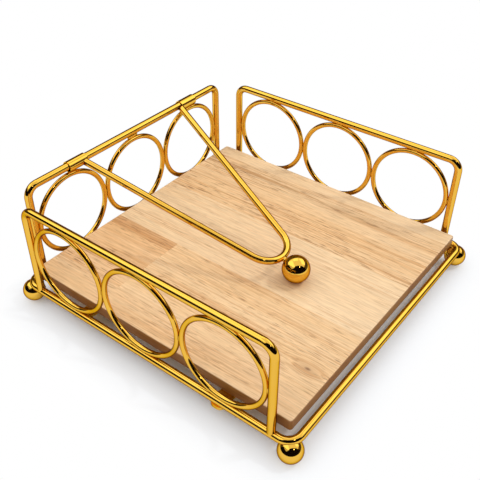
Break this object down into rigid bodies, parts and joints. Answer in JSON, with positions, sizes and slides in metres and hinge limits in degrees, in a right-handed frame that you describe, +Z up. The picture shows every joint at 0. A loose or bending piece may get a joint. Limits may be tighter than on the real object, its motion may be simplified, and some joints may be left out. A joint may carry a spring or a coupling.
{
  "type": "flat napkin tray",
  "caption": "Flat napkin tray of gold-plated wire: a wooden bed on ball feet, ringed side panels, and a hinged V-shaped arm with a ball that holds the napkins down.",
  "frame": {"origin": "middle of the footprint on the table plane, under the lowest points of the ball feet", "axes": "+X to the right and +Y to the rear, as seen from the open front; +Z up"},
  "size_m": [0.1936, 0.1936, 0.0736],
  "materials": {
    "gold_plate": "polished gold electroplate over steel wire",
    "wood": "pale wood under a thin satin lacquer",
    "screw_steel": "bright zinc plate"
  },
  "bodies": {
    "frame": {"base_ring": "gold_plate", "rear_frame": "gold_plate", "left_frame": "gold_plate", "right_frame": "gold_plate", "rear_left_ring": "gold_plate", "rear_middle_ring": "gold_plate", "rear_right_ring": "gold_plate", "left_front_ring": "gold_plate", "left_middle_ring": "gold_plate", "left_rear_ring": "gold_plate", "right_front_ring": "gold_plate", "right_middle_ring": "gold_plate", "right_rear_ring": "gold_plate", "front_left_foot": "gold_plate", "front_right_foot": "gold_plate", "rear_left_foot": "gold_plate", "rear_right_foot": "gold_plate", "board": "wood", "front_strap": "gold_plate", "rear_strap": "gold_plate", "board_screws": "screw_steel"},
    "arm": {"arm_wire": "gold_plate", "left_sleeve": "gold_plate", "right_sleeve": "gold_plate", "arm_ball": "gold_plate"}
  },
  "joints": [
    {"name": "arm_swing", "type": "hinge", "parent": "frame", "child": "arm", "pos_m": [0, 0.092, 0.07025], "axis": [-1, 0, 0], "range_deg": [0, 224]}
  ]
}
